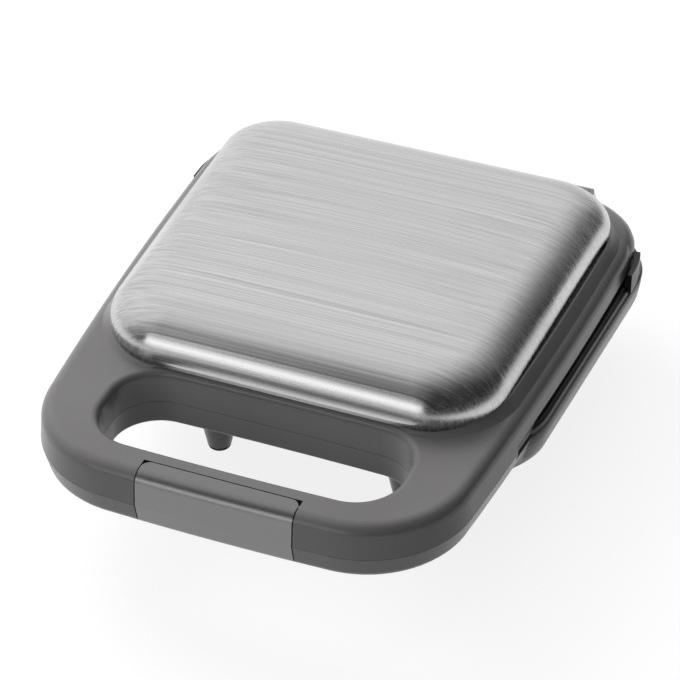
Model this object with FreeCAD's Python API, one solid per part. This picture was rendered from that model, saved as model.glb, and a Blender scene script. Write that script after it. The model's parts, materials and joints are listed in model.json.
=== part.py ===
import FreeCAD, Part
import math
import os
from collections import namedtuple

# Compact single-sandwich toaster with a hinged lid, a loop handle and a flip latch.
# Sizes are in millimetres. While it is built, y runs back from the front of the handle
# and z runs up from the parting line. Every piece is moved to the final origin, on the
# ground under the middle of the toaster, when it is written.

# Shells
shell_width = 162.0
shell_length = 207.0
shell_front_radius = 37.0
lid_rear_radius = 33.0
base_rear_radius = 30.0
shell_widest = 185.0
shell_side_radius = 1630.0
shell_end_bow = 3.0
wall = 2.4
parting_gap = 0.3

# Handle loop
handle_top = 11.8
handle_bottom = 9.0
handle_top_lean = 0.9
handle_bottom_lean = 2.2
handle_top_round = 4.4
handle_bottom_round = 3.4
grip_width = 103.0
grip_front = 15.0
grip_length = 38.0
grip_corner = 15.5
grip_side_radius = 300.0
grip_end_bow = 0.8
grip_draft = 0.5
grip_lip_round = 2.2
grip_low_round = 1.0

# Raised rim of the lid and the pressed steel cover that it frames
rim_height = 15.2
rim_width = 0.7
rim_flare = 5.0
cover_gap = 0.5
cover_width = 146.0
cover_setback = 3.2
cover_rear_margin = 11.0
cover_front_radius = 25.0
cover_rear_radius = 26.0
cover_end_bow = 2.6
cover_height = 14.5
cover_crown = 1.8
cover_edge_run = 20.0
cover_rear_extra = 6.0
cover_sheet = 0.8
cover_skirt = 2.4
cover_ledge = 4.0

# Lower pan and feet
pan_setback = 5.0
pan_depth = 24.0
pan_lean = 14.0
pan_front_lean = 17.0
pan_band = 12.0
pan_band_lean = 2.5
pan_band_front_lean = 4.0
pan_inset = 0.2
foot_height = 38.0
foot_top_radius = 7.0
foot_tip_radius = 4.2
foot_pad_height = 1.6
foot_pad_step = 0.2
foot_pad_round = 1.0
front_foot_x = 34.0
front_foot_setback = 27.5
rear_foot_x = 46.0
rear_foot_margin = 28.0

# Side slots that show the frames
slot_setback = 17.0
slot_rear_margin = 21.0
slot_half_height = 3.2

# Frames and cooking plates
frame_clearance = 0.4
frame_height = 7.0
ridge_reach = 1.5
ridge_root = 0.6
ridge_round = 1.0
upper_ridge_short = 12.0
lower_ridge_short = 2.0
fence_height = 5.0
fence_wall = 5.0
fence_length = 15.0
fence_inset = -2.4
fence_lid_gap = 0.8
plate_width = 130.0
plate_front_margin = 10.0
plate_rear_margin = 10.6
plate_corner = 18.0
plate_side_radius = 4000.0
plate_end_bow = 0.4
plate_clearance = 0.3
plate_flange = 2.4
plate_ledge = 3.0
plate_floor = 2.2
pocket_margin = 7.0
pocket_corner = 10.0
pocket_draft = 2.5
pocket_floor_round = 2.0
pocket_ridge = 6.0
upper_pocket = 9.0
lower_pocket = 6.8

# Heating
heater_radius = 2.3
heater_gap = 0.1
heater_half_span = 38.0
heater_front_margin = 25.0
heater_rear_margin = 19.0
heater_bend = 16.0
bead_radius = 2.2
bead_length = 8.0
reflector_sheet = 0.6
reflector_flange = 1.8
reflector_lean = 3.0
upper_reflector_depth = 13.0
lower_reflector_depth = 7.6
thermostat_radius = 7.0
thermostat_height = 4.6
thermostat_flange = 1.5
thermostat_setback = 50.0
thermostat_tab = 2.4
fuse_radius = 2.0
fuse_length = 16.0
fuse_lead = 6.0
fuse_lead_radius = 0.5
fuse_setback = 19.0

# Hinge
hinge_setback = 6.6
hinge_z = 1.5
knuckle_radius = 5.0
knuckle_inner = 33.0
knuckle_length = 16.0
knuckle_gap = 0.6
hinge_side_gap = 0.4
ear_thickness = 5.0
hinge_pin_radius = 2.0
pin_running_gap = 0.05
pin_head_radius = 3.2
pin_head_length = 1.2

# Latch
latch_width = 53.4
latch_sheet = 2.0
latch_gap = 0.6
latch_side_gap = 0.4
latch_top_reach = 8.9
latch_hook_reach = 3.8
latch_hook_gap = 1.2
latch_corner = 3.0
latch_pivot_y = 8.0
latch_pivot_z = 9.5
latch_pin_radius = 0.8
latch_knuckle_radius = 1.7
latch_swing_gap = 0.15
latch_knuckle_half = 20.0
latch_spring_half = 6.0
latch_spring_wire = 0.6
latch_spring_gap = 0.1
latch_pin_seat = 3.0

# Fasteners and cord inlet
screw_radius = 1.5
screw_head_radius = 2.8
screw_head_height = 1.4
screw_head_gap = 0.2
screw_fit = 0.02
screw_length = 9.0
screw_offset = 4.6
screw_inset = 20.0
boss_radius = 3.6
block_width = 26.0
block_length = 7.0
block_height = 6.0
block_setback = 2.0
block_wire_radius = 1.6
block_screw_radius = 2.2
bush_radius = 3.4
bush_bore = 2.2
bush_flange = 1.6
bush_setback = 0.6
bush_flange_step = 1.4
bush_drop = 10.9

# Places that follow from the sizes above
V = FreeCAD.Vector
half = shell_width / 2
grip_rear = grip_front + grip_length
cover_front = grip_rear + cover_setback
cover_rear = shell_length - cover_rear_margin
pan_front = grip_rear + pan_setback
frame_front = pan_front + wall + frame_clearance
front_foot_y = grip_rear + front_foot_setback
rear_foot_y = shell_length - rear_foot_margin
slot_start = grip_rear + slot_setback
slot_end = shell_length - slot_rear_margin
plate_front = cover_front + plate_front_margin
plate_rear = cover_rear - plate_rear_margin
heater_front = plate_front + heater_front_margin
heater_rear = plate_rear - heater_rear_margin
thermostat_y = plate_front + thermostat_setback
hinge_y = shell_length + hinge_setback
overall_length = hinge_y + knuckle_radius
upper_back = upper_pocket + plate_floor
lower_back = lower_pocket + plate_floor

Plan = namedtuple("Plan", "half_width front rear r_front r_rear widest side_radius end_bow")

lid_plan = Plan(half, 0.0, shell_length, shell_front_radius, lid_rear_radius,
                shell_widest, shell_side_radius, shell_end_bow)
base_plan = lid_plan._replace(r_rear=base_rear_radius)
cover_plan = Plan(cover_width / 2, cover_front, cover_rear, cover_front_radius, cover_rear_radius,
                  shell_widest, shell_side_radius, cover_end_bow)
grip_plan = Plan(grip_width / 2, grip_front, grip_rear, grip_corner, grip_corner,
                 (grip_front + grip_rear) / 2, grip_side_radius, grip_end_bow)
plate_plan = Plan(plate_width / 2, plate_front, plate_rear, plate_corner, plate_corner,
                  (plate_front + plate_rear) / 2, plate_side_radius, plate_end_bow)


def inset(plan, by):
    """The same plan, drawn in by a distance all round."""
    return plan._replace(half_width=plan.half_width - by, front=plan.front + by,
                         rear=plan.rear - by, r_front=plan.r_front - by, r_rear=plan.r_rear - by,
                         side_radius=plan.side_radius - by)


def tangent_corner(side_centre, side_radius, end_centre, end_radius, radius, near):
    """Centre of a corner arc inside both long arcs, and where it touches each of them."""
    d_side = side_radius - radius
    d_end = end_radius - radius
    step = end_centre - side_centre
    span = step.Length
    along = (d_side ** 2 - d_end ** 2 + span ** 2) / (2 * span)
    across = math.sqrt(d_side ** 2 - along ** 2)
    unit = step * (1 / span)
    normal = V(-unit.y, unit.x, 0)
    base = side_centre + unit * along
    choices = [base + normal * across, base - normal * across]
    centre = min(choices, key=lambda point: (point - near).Length)
    on_side = side_centre + (centre - side_centre) * (side_radius / d_side)
    on_end = end_centre + (centre - end_centre) * (end_radius / d_end)
    middle = (on_side + on_end) * 0.5 - centre
    return on_end, centre + middle * (radius / middle.Length), on_side


def outline(plan, z):
    """Closed wire of eight tangent arcs: a rounded rectangle with bowed sides."""
    side_radius = plan.side_radius
    end_radius = plan.half_width ** 2 / (2 * plan.end_bow)
    side_centre = V(plan.half_width - side_radius, plan.widest, 0)
    ends = [(plan.front, plan.r_front, 1), (plan.rear, plan.r_rear, -1)]
    corners = []
    for end, radius, sign in ends:
        end_centre = V(0, end + sign * end_radius, 0)
        near = V(plan.half_width - radius, end + sign * radius, 0)
        corners.append(tangent_corner(side_centre, side_radius, end_centre, end_radius, radius, near))
    (f_end, f_mid, f_side), (r_end, r_mid, r_side) = corners

    side_y = (f_side.y + r_side.y) / 2
    side_mid = V(side_centre.x + math.sqrt(side_radius ** 2 - (side_y - plan.widest) ** 2), side_y, 0)

    def mirror(point):
        return V(-point.x, point.y, 0)

    arcs = [(mirror(f_end), V(0, plan.front, 0), f_end),
            (f_end, f_mid, f_side),
            (f_side, side_mid, r_side),
            (r_side, r_mid, r_end),
            (r_end, V(0, plan.rear, 0), mirror(r_end)),
            (mirror(r_end), mirror(r_mid), mirror(r_side)),
            (mirror(r_side), mirror(side_mid), mirror(f_side)),
            (mirror(f_side), mirror(f_mid), mirror(f_end))]
    lift = V(0, 0, z)
    return Part.Wire([Part.Arc(a + lift, b + lift, c + lift).toShape() for a, b, c in arcs])


def prism(plan, z0, z1):
    return Part.Face(outline(plan, z0)).extrude(V(0, 0, z1 - z0))


def loft(sections, ruled=False):
    """Solid through plans at rising heights, given as (plan, z) pairs."""
    return Part.makeLoft([outline(plan, z) for plan, z in sections], True, ruled)


def block(x0, x1, y0, y1, z0, z1):
    return Part.makeBox(x1 - x0, y1 - y0, z1 - z0, V(x0, y0, z0))


def rod(x0, x1, radius, y, z):
    return Part.makeCylinder(radius, x1 - x0, V(x0, y, z), V(1, 0, 0))


def post(radius, x, y, z0, z1):
    return Part.makeCylinder(radius, z1 - z0, V(x, y, z0))


def side_profile(points, x0, x1):
    """Prism along x with a polygon of (y, z) points as its section."""
    corners = [V(x0, y, z) for y, z in points]
    return Part.Face(Part.makePolygon(corners + corners[:1])).extrude(V(x1 - x0, 0, 0))


def flipped(shape):
    """The shape turned upside down about the parting line."""
    return shape.mirror(V(0, 0, 0), V(0, 0, 1))


def edges_at(shape, z, plan=None):
    """Edges that lie flat at a height, within a plan's box when one is given."""
    found = []
    for edge in shape.Edges:
        box = edge.BoundBox
        flat = abs(box.ZMin - z) < 0.01 and abs(box.ZMax - z) < 0.01
        inside = plan is None or (box.XMax < plan.half_width + 1 and box.XMin > -plan.half_width - 1
                                  and box.YMin > plan.front - 1 and box.YMax < plan.rear + 1)
        if flat and inside:
            found.append(edge)
    return found


def one(shape):
    """A clean single solid, or a compound when the piece is a group of solids."""
    solids = shape.removeSplitter().Solids
    if len(solids) == 1:
        return solids[0]
    return Part.makeCompound(solids)


def loop_slab(plan, height, lean, rounding):
    """Half of the loop handle and shell: a leaning slab with a rounded outer edge."""
    slab = loft([(plan, 0), (inset(plan, lean), height)], ruled=True)
    return slab.makeFillet(rounding, edges_at(slab, height))


def with_grip(slab, height, lip):
    """Cuts the finger opening and rounds its lip."""
    cutter = loft([(grip_plan, -1), (inset(grip_plan, -grip_draft), height + 1)], ruled=True)
    cut = slab.cut(cutter)
    return cut.makeFillet(lip, edges_at(cut, height, inset(grip_plan, -grip_draft)))


def side_slot(plan):
    """Cutter for the long side slots that run to the rear corners."""
    depth = wall + frame_clearance + 1
    strip = prism(inset(plan, -5), -slot_half_height, slot_half_height)
    strip = strip.cut(prism(inset(plan, depth), -slot_half_height - 1, slot_half_height + 1))
    return strip.common(block(-half - 9, half + 9, slot_start, slot_end, -9, 9))


def screw_places():
    """Four screw places on the frames, outside the plates."""
    x = plate_width / 2 + screw_offset
    return [(sx * x, y) for y in (plate_front + screw_inset, plate_rear - screw_inset) for sx in (-1, 1)]


# Latch space and pieces

def loop_outside():
    upper = loop_slab(lid_plan, handle_top, handle_top_lean, handle_top_round)
    lower = flipped(loop_slab(base_plan, handle_bottom, handle_bottom_lean, handle_bottom_round))
    return upper, lower


def latch_sleeve(sheet_thickness, side_half, top_reach, hook_reach):
    """C-shaped sleeve that hugs the front of the handle bar, flush with its outside."""
    upper, lower = loop_outside()
    skin = upper.fuse(lower)
    top_core = loft([(inset(lid_plan, sheet_thickness), 0),
                     (inset(lid_plan, sheet_thickness + handle_top_lean), handle_top - sheet_thickness)],
                    ruled=True)
    core_round = handle_top_round - sheet_thickness
    top_core = top_core.makeFillet(core_round, edges_at(top_core, handle_top - sheet_thickness))
    low_core = flipped(loft([(inset(base_plan, sheet_thickness), 0),
                             (inset(base_plan, sheet_thickness + handle_bottom_lean),
                              handle_bottom - sheet_thickness)], ruled=True))
    zone = block(-side_half, side_half, -5, top_reach, 0, handle_top + 1)
    zone = zone.fuse(block(-side_half, side_half, -5, hook_reach, -handle_bottom - 1, 0))
    return skin.common(zone).cut(top_core.fuse(low_core))


def latch_space():
    """Room that both shells leave for the latch and its knuckles."""
    side = latch_width / 2 + latch_side_gap
    space = latch_sleeve(latch_sheet + latch_gap, side, latch_top_reach + latch_side_gap,
                         latch_hook_reach + latch_hook_gap)
    swing = math.hypot(latch_top_reach - latch_pivot_y, handle_top - latch_pivot_z) + latch_swing_gap
    groove = rod(-side, side, swing, latch_pivot_y, latch_pivot_z)
    pin_hole = rod(-side - latch_pin_seat, side + latch_pin_seat, latch_pin_radius + screw_fit,
                   latch_pivot_y, latch_pivot_z)
    return space.fuse([groove, pin_hole])


def latch_face():
    """Satin clip face with its bottom hook and the knuckles of its pivot."""
    sleeve = latch_sleeve(latch_sheet, latch_width / 2, latch_top_reach, latch_hook_reach)
    upright = [edge for edge in sleeve.Edges
               if abs(edge.BoundBox.YMin - latch_top_reach) < 0.01
               and abs(edge.BoundBox.XLength) < 0.01 and edge.BoundBox.ZLength > 1]
    sleeve = sleeve.makeFillet(latch_corner, upright)
    for sign in (-1, 1):
        near = sign * latch_spring_half
        far = sign * latch_knuckle_half
        sleeve = sleeve.fuse(rod(min(near, far), max(near, far), latch_knuckle_radius,
                                 latch_pivot_y, latch_pivot_z))
    clear = rod(-latch_spring_half, latch_spring_half, latch_knuckle_radius + latch_spring_gap,
                latch_pivot_y, latch_pivot_z)
    bore = rod(-half, half, latch_pin_radius + pin_running_gap, latch_pivot_y, latch_pivot_z)
    return sleeve.cut(clear).cut(bore)


def latch_pin():
    reach = latch_width / 2 + latch_side_gap + latch_pin_seat - 0.2
    return rod(-reach, reach, latch_pin_radius, latch_pivot_y, latch_pivot_z)


def latch_spring():
    """Close-wound torsion spring round the middle of the latch pin, drawn as a plain sleeve."""
    length = latch_spring_half - latch_pin_radius
    inner = latch_pin_radius + latch_spring_gap
    sleeve = rod(-length, length, inner + latch_spring_wire, latch_pivot_y, latch_pivot_z)
    return sleeve.cut(rod(-length, length, inner, latch_pivot_y, latch_pivot_z))


# Lid

def rim_dome():
    """Raised rim: swells out of the handle slab and closes in to the cover's edge."""
    top = inset(cover_plan, -(cover_gap + rim_width))
    low = inset(lid_plan, 1.5)
    rise = rim_height - handle_top
    steps = [(0.0, 0.0, handle_top - 1.05 * rise), (0.22, 0.0, handle_top - 0.45 * rise),
             (0.52, 0.42, handle_top + 0.05 * rise), (0.8, 0.8, handle_top + 0.55 * rise),
             (1.0, 1.0, rim_height)]
    dome_front = top.front - rim_flare
    sections = []
    for side, front, z in steps:
        def mix(a, b, t=side):
            return a + (b - a) * t
        plan = Plan(mix(low.half_width, top.half_width), mix(dome_front, top.front, front),
                    mix(low.rear, top.rear), mix(shell_front_radius - 6, top.r_front),
                    mix(low.r_rear, top.r_rear), shell_widest, shell_side_radius - side,
                    mix(low.end_bow, top.end_bow))
        sections.append((plan, z))
    return loft(sections)


def lid_shell():
    slab = loop_slab(lid_plan, handle_top, handle_top_lean, handle_top_round)
    slab = with_grip(slab, handle_top, grip_lip_round)
    grip_keep = prism(inset(grip_plan, -grip_draft - grip_lip_round), -1, rim_height + 5)
    shell = slab.fuse(rim_dome().cut(grip_keep))
    seat = rim_height - cover_skirt
    shell = shell.cut(prism(inset(cover_plan, -cover_gap), seat, rim_height + 5))
    shell = shell.cut(prism(inset(cover_plan, cover_ledge), -1, rim_height + 5))
    cavity_plan = inset(lid_plan, wall)._replace(
        front=frame_front - frame_clearance, r_front=cover_front_radius)
    shell = shell.cut(prism(cavity_plan, -1, handle_top - wall))
    shell = shell.cut(side_slot(lid_plan)).cut(latch_space())
    for x, y in screw_places():
        boss = post(boss_radius, x, y, frame_height + 0.1, handle_top - 0.5)
        shell = shell.fuse(boss)
        shell = shell.cut(post(screw_radius + screw_fit, x, y, -1, frame_height + 4))
    for arm in lid_arms():
        shell = shell.fuse(arm)
    bore = rod(-half, half, hinge_pin_radius + pin_running_gap, hinge_y, hinge_z)
    return one(shell.cut(bore))


def lid_arms():
    """Two arms behind the lid that end in the hinge knuckles."""
    arms = []
    root = shell_length - wall
    for sign in (-1, 1):
        x0 = sign * knuckle_inner if sign > 0 else -knuckle_inner - knuckle_length
        x1 = x0 + knuckle_length
        web = side_profile([(root, parting_gap), (root, handle_top - 3.4),
                            (hinge_y, hinge_z + knuckle_radius), (hinge_y, hinge_z),
                            (hinge_y - 4, parting_gap)], x0, x1)
        arms.append(web.fuse(rod(x0, x1, knuckle_radius, hinge_y, hinge_z)))
    return arms


def cover_sections(offset):
    """Plans of the pressed cover from its edge up to its crowned middle."""
    plan = inset(cover_plan, offset)
    rolled = []
    for step in range(6):
        angle = math.radians(90 * step / 5)
        share = 1 - math.cos(angle)
        drawn = inset(plan, cover_edge_run * share)
        drawn = drawn._replace(rear=drawn.rear - cover_rear_extra * share)
        rolled.append((drawn, rim_height + (cover_height - offset) * math.sin(angle)))
    edge = rim_height + cover_height - offset
    reach = plan.half_width - cover_edge_run
    crown = rolled[-1:]
    for share in (0.35, 0.75):
        inner = inset(rolled[-1][0], reach * share)
        inner = inner._replace(r_front=rolled[-1][0].r_front, r_rear=rolled[-1][0].r_front)
        crown.append((inner, edge + cover_crown * (1 - (1 - share) ** 2)))
    return rolled, crown


def cover_form(offset):
    """Solid form of the cover, with its rolled edge, crown and skirt."""
    rolled, crown = cover_sections(offset)
    skirt = prism(inset(cover_plan, offset), rim_height - cover_skirt - offset, rim_height)
    return loft(rolled).fuse([loft(crown), skirt])


def lid_cover():
    """Deep-drawn steel cover with rolled edges and a slightly crowned top."""
    return one(cover_form(0).cut(cover_form(cover_sheet)))


# Frames and plates

def frame_ring(plan, ridge_short, lean, front_lean):
    """Black frame between shell and plate, with the rounded ridge that fills the slot."""
    outer = inset(plan, wall + frame_clearance)._replace(
        front=frame_front, r_front=cover_front_radius - frame_clearance)
    back = inset(outer, lean)._replace(front=frame_front + front_lean)
    ring = loft([(outer, parting_gap / 2), (back, frame_height)], ruled=True)
    ridge = prism(inset(plan, wall + frame_clearance - ridge_reach), parting_gap / 2,
                  slot_half_height - frame_clearance)
    ridge = ridge.common(block(-half, half, slot_start + frame_clearance, slot_end - ridge_short, -1, 9))
    ridge = ridge.cut(prism(inset(plan, wall + frame_clearance + ridge_root), -1, 9))
    lips = [edge for edge in edges_at(ridge, slot_half_height - frame_clearance)
            if edge.Length > 60 and abs(edge.CenterOfMass.x) > half - wall - ridge_reach]
    ring = ring.fuse(ridge.makeFillet(ridge_round, lips))
    ring = ring.cut(prism(inset(plate_plan, -plate_clearance), -1, plate_flange + plate_clearance))
    ring = ring.cut(prism(inset(plate_plan, plate_ledge), -1, frame_height + 1))
    for x, y in screw_places():
        ring = ring.cut(post(screw_radius + screw_fit, x, y, -1, frame_height + 1))
        ring = ring.cut(post(screw_head_radius + screw_head_gap, x, y, -1,
                             parting_gap / 2 + screw_head_height))
    return ring


def upper_frame():
    return one(frame_ring(lid_plan, upper_ridge_short, 0, 0))


def lower_frame():
    """Lower frame, with the fence that stands up behind the lid's rear corners."""
    share = frame_height / pan_band
    ring = flipped(frame_ring(base_plan, lower_ridge_short, pan_band_lean * share,
                              pan_band_front_lean * share))
    fence = prism(inset(base_plan, fence_inset), -slot_half_height + frame_clearance, fence_height)
    fence = fence.cut(prism(inset(base_plan, fence_inset + fence_wall), -slot_half_height, fence_height + 1))
    fence = fence.cut(prism(inset(lid_plan, -fence_lid_gap), -parting_gap / 2, fence_height + 1))
    reach = half - fence_inset
    keep = block(-reach, reach, slot_end - fence_length, slot_end - frame_clearance, -9, 9)
    return one(ring.fuse(fence.common(keep)))


def plate(pocket):
    """Cast cooking plate: flange, two pockets with sloped walls and a ridge between them."""
    body = prism(plate_plan, parting_gap / 2, plate_flange)
    pan_plan = inset(plate_plan, pocket_margin - plate_floor)
    body = body.fuse(loft([(pan_plan, plate_flange - 0.5),
                           (inset(pan_plan, pocket_draft), pocket + plate_floor)], ruled=True))
    middle = (plate_front + plate_rear) / 2
    for y0, y1 in ((plate_front + pocket_margin, middle - pocket_ridge / 2),
                   (middle + pocket_ridge / 2, plate_rear - pocket_margin)):
        pocket_plan = Plan(plate_width / 2 - pocket_margin, y0, y1, pocket_corner, pocket_corner,
                           (y0 + y1) / 2, plate_side_radius, plate_end_bow)
        cavity = loft([(pocket_plan, -0.5), (inset(pocket_plan, pocket_draft), pocket)], ruled=True)
        floor_edges = edges_at(cavity, pocket)
        body = body.cut(cavity.makeFillet(pocket_floor_round, floor_edges))
    return one(body)


# Heating

def heater(back):
    """Tubular element bent into a U, lying on the back of its plate."""
    z = back + heater_gap + heater_radius
    x = heater_half_span
    b = heater_bend
    diagonal = b * (1 - math.sqrt(0.5))
    left_end, left = V(-x, heater_rear, z), V(-x, heater_front + b, z)
    right_end, right = V(x, heater_rear, z), V(x, heater_front + b, z)
    bends = [(left, V(-x + diagonal, heater_front + diagonal, z), V(-x + b, heater_front, z)),
             (V(x - b, heater_front, z), V(x - diagonal, heater_front + diagonal, z), right)]
    path = Part.Wire([Part.LineSegment(left_end, left).toShape(),
                      Part.Arc(*bends[0]).toShape(),
                      Part.LineSegment(bends[0][2], bends[1][0]).toShape(),
                      Part.Arc(*bends[1]).toShape(),
                      Part.LineSegment(right, right_end).toShape()])
    section = Part.Wire([Part.makeCircle(heater_radius, left_end, V(0, 1, 0))])
    return path.makePipeShell([section], True, False)


def heater_beads(back):
    """Ceramic beads on the two ends of an element."""
    z = back + heater_gap + heater_radius
    beads = []
    for sign in (-1, 1):
        bead = Part.makeCylinder(bead_radius, bead_length,
                                 V(sign * heater_half_span, heater_rear + heater_gap, z), V(0, 1, 0))
        beads.append(bead)
    return Part.makeCompound(beads)


def reflector(depth):
    """Thin dish that closes the back of a plate and rests its flange on the frame."""
    pan = inset(plate_plan, plate_ledge - reflector_flange + 1)
    z = frame_height + heater_gap
    low = inset(pan, reflector_lean)
    dish = loft([(pan, z), (low, z + depth)], ruled=True)
    dish = dish.fuse(prism(inset(pan, -reflector_flange), z, z + reflector_sheet))
    inner = loft([(inset(pan, reflector_sheet), z - 0.5),
                  (inset(low, reflector_sheet), z + depth - reflector_sheet)], ruled=True)
    return one(dish.cut(inner))


def thermostat(back):
    """Disc thermostat on the back of the upper plate, with its two tabs."""
    z = back + heater_gap
    body = post(thermostat_radius, 0, thermostat_y, z, z + thermostat_height)
    flange = post(thermostat_radius + thermostat_flange, 0, thermostat_y, z, z + 1.0)
    shape = body.fuse(flange)
    for sign in (-1, 1):
        tab_x = sign * (thermostat_radius - 2)
        shape = shape.fuse(block(tab_x - 0.4, tab_x + 0.4, thermostat_y - thermostat_tab,
                                 thermostat_y + thermostat_tab, z + thermostat_height - 0.5,
                                 z + thermostat_height + thermostat_tab))
    return one(shape)


def thermal_fuse(back):
    """Thermal cut-out in its sleeve, lying on the upper plate behind the thermostat."""
    z = back + heater_gap + fuse_radius
    reach = fuse_length / 2
    y = thermostat_y + fuse_setback
    lead = rod(-reach - fuse_lead, reach + fuse_lead, fuse_lead_radius, y, z)
    return one(rod(-reach, reach, fuse_radius, y, z).fuse(lead))


# Base

def pan_solid(extra, depth):
    """Lower pan: leaning sides and a sloped front, drawn in by a wall thickness."""
    top = inset(base_plan, extra)._replace(front=pan_front + extra, r_front=cover_front_radius)
    middle = inset(top, pan_band_lean)._replace(front=top.front + pan_band_front_lean)
    bottom = inset(top, pan_lean)._replace(front=top.front + pan_front_lean)
    return flipped(loft([(top, 0), (middle, pan_band), (bottom, depth)], ruled=True))


def foot_places():
    return [(sx * x, y) for x, y in ((front_foot_x, front_foot_y), (rear_foot_x, rear_foot_y))
            for sx in (-1, 1)]


def base_shell():
    slab = loop_slab(base_plan, handle_bottom, handle_bottom_lean, handle_bottom_round)
    slab = flipped(with_grip(slab, handle_bottom, grip_low_round))
    shell = slab.fuse(pan_solid(pan_inset, pan_depth))
    cavity = pan_solid(wall, pan_depth - wall)
    shell = shell.cut(cavity)
    for x, y in foot_places():
        shell = shell.fuse(foot_cone(x, y))
    for x, y in screw_places():
        boss = post(boss_radius, x, y, -pan_depth + wall / 2, -frame_height - 0.1)
        shell = shell.fuse(boss.common(pan_solid(2 * pan_inset, pan_depth)))
        shell = shell.cut(post(screw_radius + screw_fit, x, y, -frame_height - 4, 1))
    shell = shell.cut(side_slot(base_plan)).cut(latch_space())
    for ear in hinge_ears():
        shell = shell.fuse(ear)
    for sign in (-1, 1):
        centre = sign * (knuckle_inner + knuckle_length / 2)
        reach = knuckle_length / 2 + hinge_side_gap
        shell = shell.cut(rod(centre - reach, centre + reach, knuckle_radius + knuckle_gap,
                              hinge_y, hinge_z))
    shell = shell.cut(rod(-half, half, hinge_pin_radius + screw_fit, hinge_y, hinge_z))
    shell = shell.cut(bush_core(bush_radius + screw_fit, 40))
    trim = block(-half - 9, half + 9, -9, shell_length + 40, -parting_gap / 2, 0.01)
    keep_ears = block(-knuckle_inner - knuckle_length - 9, knuckle_inner + knuckle_length + 9,
                      shell_length - 0.5, shell_length + 40, -1, 1)
    return one(shell.cut(trim.cut(keep_ears)))


def foot_cone(x, y):
    """Tapered moulded foot that ends in a seat for its pad."""
    top = -pan_depth + wall / 2
    low = -foot_height + foot_pad_height
    return Part.makeCone(foot_tip_radius, foot_top_radius, top - low, V(x, y, low))


def foot_pads():
    """Round rubber tips, one under each foot."""
    pads = []
    for x, y in foot_places():
        pad = post(foot_tip_radius - foot_pad_step, x, y, -foot_height, -foot_height + foot_pad_height)
        pads.append(pad.makeFillet(foot_pad_round, edges_at(pad, -foot_height)))
    return Part.makeCompound(pads)


def hinge_ears():
    """Four ears behind the base, one on each side of each knuckle."""
    ears = []
    inner = knuckle_inner - hinge_side_gap
    outer = knuckle_inner + knuckle_length + hinge_side_gap
    root = shell_length - wall
    for x0 in (inner - ear_thickness, outer, -inner, -outer - ear_thickness):
        x1 = x0 + ear_thickness
        web = side_profile([(root, -parting_gap / 2), (hinge_y - knuckle_radius, -parting_gap / 2),
                            (hinge_y - knuckle_radius, hinge_z), (hinge_y + knuckle_radius, hinge_z),
                            (hinge_y + knuckle_radius - 1, -3), (root, -pan_band)], x0, x1)
        ears.append(web.fuse(rod(x0, x1, knuckle_radius, hinge_y, hinge_z)))
    return ears


def hinge_pins():
    """Two steel pins, each through one knuckle and its pair of ears."""
    pins = []
    for sign in (-1, 1):
        near = knuckle_inner - hinge_side_gap - ear_thickness
        far = knuckle_inner + knuckle_length + hinge_side_gap + ear_thickness
        ends = sorted((sign * near, sign * far))
        shank = rod(ends[0], ends[1], hinge_pin_radius, hinge_y, hinge_z)
        cap = sorted((sign * far, sign * (far + pin_head_length)))
        pins.append(shank.fuse(rod(cap[0], cap[1], pin_head_radius, hinge_y, hinge_z)))
    return Part.makeCompound(pins)


def terminal_block():
    """Terminal block behind the lower plate, with its two wire bores."""
    y0 = shell_length - pan_lean - wall - block_setback - block_length
    floor = -pan_depth + wall
    shape = block(-block_width / 2, block_width / 2, y0, y0 + block_length, floor, floor + block_height)
    for sign in (-1, 1):
        x = sign * block_width / 4
        wire_start = V(x, y0 - 1, floor + block_wire_radius + 1)
        shape = shape.cut(Part.makeCylinder(block_wire_radius, block_length + 2, wire_start, V(0, 1, 0)))
        shape = shape.cut(post(block_screw_radius, x, y0 + block_length / 2,
                               floor + 2 * block_wire_radius, floor + 20))
    return one(shape)


def bush_core(radius, length):
    return Part.makeCylinder(radius, length, V(0, shell_length - 20, -bush_drop), V(0, 1, 0))


def cord_bush():
    """Rubber inlet bush in the middle of the base's rear wall."""
    outside = shell_length - bush_setback
    inside = outside - 2 * wall
    sleeve = Part.makeCylinder(bush_radius, outside - inside, V(0, inside, -bush_drop), V(0, 1, 0))
    collar = Part.makeCylinder(bush_radius + bush_flange_step, bush_flange,
                               V(0, outside, -bush_drop), V(0, 1, 0))
    shape = sleeve.fuse(collar)
    return one(shape.cut(bush_core(bush_bore, 60)))


def frame_screws(direction):
    """Four screws that hold a frame to its shell, heads in the parting face."""
    screws = []
    for x, y in screw_places():
        head_low = parting_gap / 2
        head = post(screw_head_radius, x, y, head_low, head_low + screw_head_height)
        shank = post(screw_radius, x, y, head_low + screw_head_height, head_low + screw_length)
        screw = head.fuse(shank)
        screws.append(screw if direction > 0 else flipped(screw))
    return Part.makeCompound(screws)


def write(name, shape):
    """Moves a piece to the final origin and writes it."""
    placed = shape.copy()
    placed.translate(V(0, -overall_length / 2, foot_height))
    placed.exportStep("parts/" + name + ".step")
    box = placed.BoundBox
    print(name, len(placed.Solids), "valid" if placed.isValid() else "BAD", round(placed.Volume),
          [round(v, 1) for v in (box.XMin, box.XMax, box.YMin, box.YMax, box.ZMin, box.ZMax)])


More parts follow.
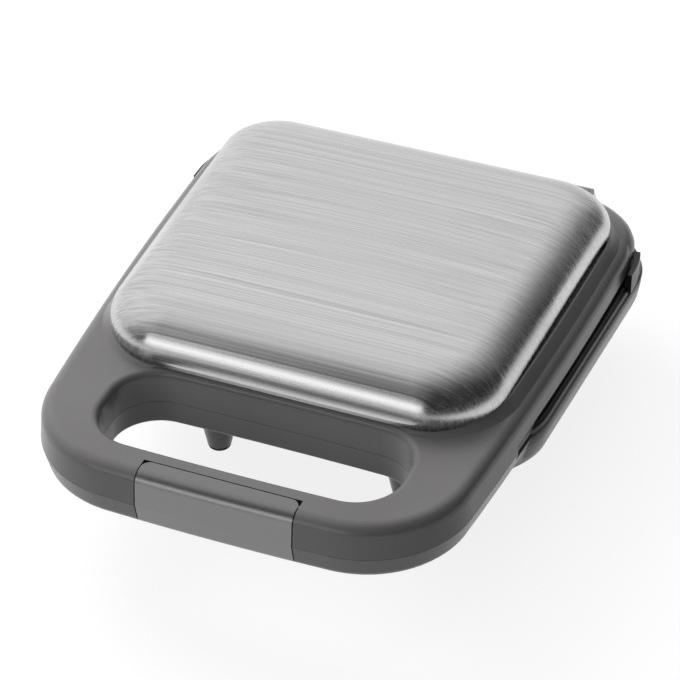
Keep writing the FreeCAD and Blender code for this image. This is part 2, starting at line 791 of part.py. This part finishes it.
os.makedirs("parts", exist_ok=True)
write("lid_shell", lid_shell())
write("lid_cover", lid_cover())
write("upper_frame", upper_frame())
write("upper_plate", plate(upper_pocket))
write("upper_heater", heater(upper_back))
write("upper_heater_beads", heater_beads(upper_back))
write("upper_reflector", reflector(upper_reflector_depth))
write("thermostat", thermostat(upper_back))
write("thermal_fuse", thermal_fuse(upper_back))
write("upper_frame_screws", frame_screws(1))
write("latch_face", latch_face())
write("latch_pin", latch_pin())
write("latch_spring", latch_spring())
write("base_shell", base_shell())
write("lower_frame", lower_frame())
write("lower_plate", flipped(plate(lower_pocket)))
write("lower_heater", flipped(heater(lower_back)))
write("lower_heater_beads", flipped(heater_beads(lower_back)))
write("lower_reflector", flipped(reflector(lower_reflector_depth)))
write("lower_frame_screws", frame_screws(-1))
write("foot_pads", foot_pads())
write("hinge_pins", hinge_pins())
write("terminal_block", terminal_block())
write("cord_bush", cord_bush())
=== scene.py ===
import json
import math
from collections import namedtuple
import bpy
from mathutils import Matrix, Vector


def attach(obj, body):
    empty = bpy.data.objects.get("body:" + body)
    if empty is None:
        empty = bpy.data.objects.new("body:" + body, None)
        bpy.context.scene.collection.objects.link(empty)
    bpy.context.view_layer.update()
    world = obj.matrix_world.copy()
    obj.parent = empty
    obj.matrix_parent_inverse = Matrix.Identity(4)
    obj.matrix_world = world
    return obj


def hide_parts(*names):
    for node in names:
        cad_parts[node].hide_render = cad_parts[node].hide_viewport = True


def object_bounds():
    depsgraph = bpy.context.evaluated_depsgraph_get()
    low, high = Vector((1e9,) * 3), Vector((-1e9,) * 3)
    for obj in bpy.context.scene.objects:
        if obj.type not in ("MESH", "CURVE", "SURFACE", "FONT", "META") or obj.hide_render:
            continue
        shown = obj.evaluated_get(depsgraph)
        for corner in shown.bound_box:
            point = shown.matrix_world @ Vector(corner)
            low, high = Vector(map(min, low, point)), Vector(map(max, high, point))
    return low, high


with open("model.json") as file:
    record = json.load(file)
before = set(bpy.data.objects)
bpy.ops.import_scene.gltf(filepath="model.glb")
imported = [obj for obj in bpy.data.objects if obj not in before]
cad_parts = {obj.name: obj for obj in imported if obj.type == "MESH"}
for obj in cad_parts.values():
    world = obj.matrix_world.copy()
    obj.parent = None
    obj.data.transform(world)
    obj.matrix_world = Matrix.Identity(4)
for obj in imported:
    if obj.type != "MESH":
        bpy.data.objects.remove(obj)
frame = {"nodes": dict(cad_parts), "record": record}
cad_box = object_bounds()
nodes = frame["nodes"]


# Small helpers for node materials

def material(name):
    """A fresh node material, with its node tree and its principled shader."""
    mat = bpy.data.materials.new(name)
    mat.use_nodes = True
    tree = mat.node_tree
    shader = tree.nodes["Principled BSDF"]
    return mat, tree, shader


def stretched(tree, stretch, scale, detail=4.0, rough=0.55):
    """Noise in the object's own coordinates, stretched along its axes."""
    coords = tree.nodes.new("ShaderNodeTexCoord")
    mapping = tree.nodes.new("ShaderNodeMapping")
    mapping.inputs["Scale"].default_value = stretch
    noise = tree.nodes.new("ShaderNodeTexNoise")
    noise.inputs["Scale"].default_value = scale
    noise.inputs["Detail"].default_value = detail
    noise.inputs["Roughness"].default_value = rough
    tree.links.new(coords.outputs["Object"], mapping.inputs["Vector"])
    tree.links.new(mapping.outputs["Vector"], noise.inputs["Vector"])
    return noise.outputs["Fac"]


def ramp(tree, value, stops):
    """Colour ramp from a value, with (place, grey or colour) stops."""
    node = tree.nodes.new("ShaderNodeValToRGB")
    elements = node.color_ramp.elements
    while len(elements) < len(stops):
        elements.new(0.5)
    for element, (place, colour) in zip(elements, stops):
        element.position = place
        if isinstance(colour, (int, float)):
            colour = (colour, colour, colour)
        element.color = (*colour, 1)
    tree.links.new(value, node.inputs["Fac"])
    return node.outputs["Color"]


def remap(tree, value, low, high, start=0.3, end=0.7):
    """The value's range from start to end, mapped to low and high."""
    node = tree.nodes.new("ShaderNodeMapRange")
    node.inputs["From Min"].default_value = start
    node.inputs["From Max"].default_value = end
    node.inputs["To Min"].default_value = low
    node.inputs["To Max"].default_value = high
    tree.links.new(value, node.inputs["Value"])
    return node.outputs["Result"]


def bump(tree, shader, value, strength, distance):
    """Fine relief on a shader from a height value."""
    node = tree.nodes.new("ShaderNodeBump")
    node.inputs["Strength"].default_value = strength
    node.inputs["Distance"].default_value = distance
    tree.links.new(value, node.inputs["Height"])
    tree.links.new(node.outputs["Normal"], shader.inputs["Normal"])


def moulded(name, dark, light, rough, grain):
    """Moulded plastic: fine spark-eroded grain and a faint drift in tone."""
    mat, tree, shader = material(name)
    drift = stretched(tree, (1, 1, 1), 24.0, 3.0)
    fine = stretched(tree, (1, 1, 1), grain, 2.0, 0.7)
    tree.links.new(ramp(tree, drift, [(0.3, dark), (0.7, light)]), shader.inputs["Base Color"])
    tree.links.new(remap(tree, fine, rough - 0.05, rough + 0.05), shader.inputs["Roughness"])
    shader.inputs["Specular IOR Level"].default_value = 0.36
    bump(tree, shader, fine, 0.25, 0.00006)
    return mat


def metal(name, dark, light, stretch, scale, rough, anisotropy=0.0, relief=0.12):
    """Metal with drawn or brushed lines along one axis."""
    mat, tree, shader = material(name)
    lines = stretched(tree, stretch, scale, 5.0, 0.65)
    shader.inputs["Metallic"].default_value = 1.0
    if anisotropy:
        shader.inputs["Anisotropic"].default_value = anisotropy
        tangent = tree.nodes.new("ShaderNodeTangent")
        tangent.direction_type = "RADIAL"
        tangent.axis = "X"
        tree.links.new(tangent.outputs["Tangent"], shader.inputs["Tangent"])
    tree.links.new(ramp(tree, lines, [(0.32, dark), (0.68, light)]), shader.inputs["Base Color"])
    tree.links.new(remap(tree, lines, rough - 0.06, rough + 0.06), shader.inputs["Roughness"])
    bump(tree, shader, lines, relief, 0.00004)
    return mat


# Materials, and the slot that each one fills

shell = moulded("shell_plastic", (0.194, 0.187, 0.187), (0.222, 0.215, 0.215), 0.28, 5200.0)
black = moulded("frame_plastic", (0.012, 0.012, 0.012), (0.022, 0.022, 0.022), 0.34, 4200.0)
control = moulded("control_plastic", (0.50, 0.46, 0.38), (0.62, 0.58, 0.50), 0.5, 3000.0)
ceramic = moulded("ceramic", (0.78, 0.77, 0.72), (0.86, 0.85, 0.81), 0.65, 6000.0)
rubber = moulded("foot_rubber", (0.016, 0.016, 0.016), (0.03, 0.03, 0.03), 0.7, 3600.0)
coat = moulded("nonstick_coat", (0.018, 0.018, 0.019), (0.034, 0.034, 0.035), 0.33, 2600.0)
steel = metal("cover_steel", 0.44, 0.70, (1, 300, 60), 6.0, 0.26, 0.6)
latch = metal("latch_satin", 0.20, 0.225, (30, 30, 30), 60.0, 0.34, relief=0.03)
tube = metal("heater_tube", (0.30, 0.28, 0.25), (0.45, 0.42, 0.38), (40, 40, 40), 20.0, 0.45)
sheet = metal("reflector_sheet", 0.62, 0.76, (60, 1, 60), 8.0, 0.3)
plated = metal("fastener_steel", 0.50, 0.62, (50, 50, 50), 30.0, 0.3)

finish_of = {
    "shell_plastic": shell, "cover_steel": steel, "latch_satin": latch, "frame_plastic": black,
    "nonstick_plate": coat, "heater_steel": tube, "ceramic": ceramic, "reflector_sheet": sheet,
    "control_plastic": control, "fastener_steel": plated, "foot_rubber": rubber,
}
for part in frame["record"]["subparts"]:
    piece = nodes[part["node"]]
    piece.data.materials.clear()
    piece.data.materials.append(finish_of[part["material_slot"]])


# Rings for the lofted pieces: a plan is an outline with bowed sides and four round corners

Plan = namedtuple("Plan", "half front rear widest side_bow end_bow front_round rear_round rear_run")
corner_steps = 14
corner_shrink = 0.6
smallest_round = 0.006


def plan_ring(plan, draw_in, z):
    """One closed outline of a plan, drawn in by a distance, at a height."""
    front = plan.front + draw_in
    rear = plan.rear - draw_in * plan.rear_run
    wide = plan.half - draw_in
    front_round = max(plan.front_round - draw_in * corner_shrink, smallest_round)
    rear_round = max(plan.rear_round - draw_in * corner_shrink, smallest_round)
    ring = []
    for side, end, radius, start in ((1, front, front_round, -90), (1, rear, rear_round, 0),
                                     (-1, rear, rear_round, 90), (-1, front, front_round, 180)):
        inward = 1 if end == front else -1
        for step in range(corner_steps + 1):
            angle = math.radians(start + 90 * step / corner_steps)
            x = side * (wide - radius) + radius * math.cos(angle)
            y = end + inward * radius + radius * math.sin(angle)
            narrowing = (y - plan.widest) ** 2 / (2 * plan.side_bow * plan.half)
            bow = plan.end_bow * (x / plan.half) ** 2
            ring.append((x * (1 - narrowing), y + bow * (1 - 2 * (y - front) / (rear - front)), z))
    return ring


def lofted(name, rings, finish, body, capped=False):
    """A smooth piece through a list of rings, which rides on a body."""
    count = len(rings[0])
    verts = [point for ring in rings for point in ring]
    faces = []
    for row in range(len(rings) - 1):
        for a in range(count):
            b = (a + 1) % count
            faces.append((row * count + a, row * count + b, (row + 1) * count + b, (row + 1) * count + a))
    if capped:
        top = (len(rings) - 1) * count
        faces.append(tuple(range(top, top + count)))
    mesh = bpy.data.meshes.new(name)
    mesh.from_pydata(verts, [], faces)
    mesh.shade_smooth()
    mesh.materials.append(finish)
    piece = bpy.data.objects.new(name, mesh)
    bpy.context.scene.collection.objects.link(piece)
    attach(piece, body)
    return piece


def profiled(plan, profile):
    """Rings of a plan for a list of (drawn in, height) points."""
    return [plan_ring(plan, draw_in, z) for draw_in, z in profile]


# Pressed steel cover: a foot, a rolled edge and a crowned middle
cover_plan = Plan(half=0.0729, front=-0.0568, rear=0.0872, widest=0.065, side_bow=1.63, end_bow=0.0026,
                  front_round=0.024, rear_round=0.0195, rear_run=1.1)
cover_foot = 0.0508
foot_inset = 0.0012
cover_edge = 0.0532
roll_height = 0.0144
roll_run = 0.020
roll_degrees = 84
crown_rise = 0.0018
roll_steps = 16
crown_steps = 12
cover_rings = profiled(cover_plan, [(foot_inset, cover_foot), (0.0, cover_foot)])
for step in range(roll_steps + 1):
    angle = math.radians(roll_degrees * step / roll_steps)
    cover_rings.append(plan_ring(cover_plan, roll_run * (1 - math.cos(angle)),
                                 cover_edge + roll_height * math.sin(angle)))
cover_middle = (cover_plan.front + cover_plan.rear) / 2
roll_end = cover_rings[-1]
for step in range(1, crown_steps):
    share = 1 - step / crown_steps
    cover_rings.append([(x * share, cover_middle + (y - cover_middle) * share,
                         z + crown_rise * (1 - share ** 2)) for x, y, z in roll_end])
cover = lofted("steel_cover", cover_rings, steel, "lid", capped=True)
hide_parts("lid_cover")

# Side walls of the base, fuller than the solids behind the handle, and the black sill above them
base_plan = Plan(half=0.0836, front=-0.044, rear=0.0985, widest=0.080, side_bow=1.25, end_bow=0.003,
                 front_round=0.026, rear_round=0.025, rear_run=1.0)
sill_profile = [(0.0090, 0.0374), (0.0022, 0.0374), (0.0011, 0.0371), (0.0007, 0.0363), (0.0007, 0.0347)]
wall_profile = [(0.0040, 0.0347), (0.0006, 0.0347), (0.0, 0.0342), (0.0004, 0.0300), (0.0010, 0.0260),
                (0.0020, 0.0232), (0.0040, 0.0208), (0.0085, 0.0180), (0.0130, 0.0155)]
lofted("base_sill", profiled(base_plan, sill_profile), black, "base")
lofted("base_wall", profiled(base_plan, wall_profile), shell, "base")

# Rear corners of the lid, squarer than the plain shell
lid_plan = Plan(half=0.0802, front=-0.040, rear=0.0974, widest=0.0757, side_bow=1.63, end_bow=0.003,
                front_round=0.030, rear_round=0.0245, rear_run=1.0)
shoulder_profile = [(0.0030, 0.0414), (0.0004, 0.0414), (0.0, 0.0420), (0.0, 0.0448), (0.0007, 0.0468),
                    (0.0020, 0.0484), (0.0040, 0.0496), (0.0075, 0.0503)]
lofted("lid_shoulder", profiled(lid_plan, shoulder_profile), shell, "lid")


# Floor: white where it is seen or mirrored, a grey table for the light it bounces

def seen_directly(tree):
    """One for camera, glossy and transmission rays, and zero for the light that surfaces bounce."""
    path = tree.nodes.new("ShaderNodeLightPath")
    total = path.outputs["Is Camera Ray"]
    for ray in ("Is Glossy Ray", "Is Transmission Ray"):
        node = tree.nodes.new("ShaderNodeMath")
        node.operation = "MAXIMUM"
        tree.links.new(total, node.inputs[0])
        tree.links.new(path.outputs[ray], node.inputs[1])
        total = node.outputs["Value"]
    return total


half_floor = 6.0
floor_white = 0.84
floor_mesh = bpy.data.meshes.new("floor")
floor_mesh.from_pydata([(-half_floor, -half_floor, 0), (half_floor, -half_floor, 0),
                        (half_floor, half_floor, 0), (-half_floor, half_floor, 0)], [], [(0, 1, 2, 3)])
floor = bpy.data.objects.new("floor", floor_mesh)
bpy.context.scene.collection.objects.link(floor)
floor_mat, floor_tree, floor_shader = material("floor_paper")
floor_shader.inputs["Roughness"].default_value = 0.9
floor_shader.inputs["Emission Color"].default_value = (1, 1, 1, 1)
shown = seen_directly(floor_tree)
floor_tree.links.new(ramp(floor_tree, shown, [(0.0, 0.22), (1.0, 0.25)]), floor_shader.inputs["Base Color"])
floor_tree.links.new(remap(floor_tree, shown, 0.0, floor_white, 0.0, 1.0),
                     floor_shader.inputs["Emission Strength"])
floor_mesh.materials.append(floor_mat)

# World: a soft studio sky, bright behind on the left and dim on the right
world = bpy.data.worlds.new("studio")
bpy.context.scene.world = world
world.use_nodes = True
sky = world.node_tree
background = sky.nodes["Background"]
sky_coords = sky.nodes.new("ShaderNodeTexCoord")
bright_side = (-0.62, 0.55, 0.56)
sky_stops = [(0.0, 0.03), (0.55, 0.04), (0.72, 0.27), (0.88, 0.95), (1.0, 1.0)]


def glow(direction, stops):
    """Sky brightness that falls off with the angle from one direction."""
    towards = sky.nodes.new("ShaderNodeVectorMath")
    towards.operation = "DOT_PRODUCT"
    towards.inputs[1].default_value = Vector(direction).normalized()
    sky.links.new(sky_coords.outputs["Generated"], towards.inputs[0])
    return ramp(sky, remap(sky, towards.outputs["Value"], 0.0, 1.0, -1.0, 1.0), stops)


sky.links.new(glow(bright_side, sky_stops), background.inputs["Color"])
background.inputs["Strength"].default_value = 1.0


# Lamps

def softbox(name, place, target, size, power, mirrored=True):
    """A rectangular soft light aimed at a point, which metal mirrors or not."""
    lamp = bpy.data.lights.new(name, "AREA")
    lamp.shape = "RECTANGLE"
    lamp.size, lamp.size_y = size
    lamp.energy = power
    box = bpy.data.objects.new(name, lamp)
    box.location = place
    box.rotation_euler = (Vector(target) - Vector(place)).to_track_quat("-Z", "Y").to_euler()
    box.visible_glossy = mirrored
    bpy.context.scene.collection.objects.link(box)


lit_point = (0, 0, 0.04)
key_place = (-0.69, 0.41, 0.65)
key_size = (0.6, 0.5)
softbox("left_key", key_place, lit_point, key_size, 4.0, mirrored=False)
softbox("left_soft", key_place, lit_point, key_size, 1.4)
softbox("front_strip", (-0.45, -1.5, 0.6), lit_point, (1.4, 0.7), 6.0)

# Camera at the photograph's angle, placed from the front of the handle at the parting line
azimuth = math.radians(22.0)
elevation = math.radians(37.0)
distance = 0.9
parting_height = 0.038
aim_right = 0.04006
aim_up = 0.05834
right = Vector((math.cos(azimuth), math.sin(azimuth), 0))
back = Vector((math.sin(azimuth) * math.cos(elevation), -math.cos(azimuth) * math.cos(elevation),
               math.sin(elevation)))
up = back.cross(right)
handle_front = Vector((0, cad_box[0][1], parting_height))
camera_data = bpy.data.cameras.new("camera")
camera_data.sensor_width = 36.0
camera_data.lens = 152.5
camera = bpy.data.objects.new("camera", camera_data)
place = handle_front + back * distance + right * aim_right + up * aim_up
turn = Matrix((right, up, back)).transposed().to_4x4()
camera.matrix_world = Matrix.Translation(place) @ turn
bpy.context.scene.collection.objects.link(camera)
bpy.context.scene.camera = camera

bpy.context.scene.view_settings.view_transform = "Standard"
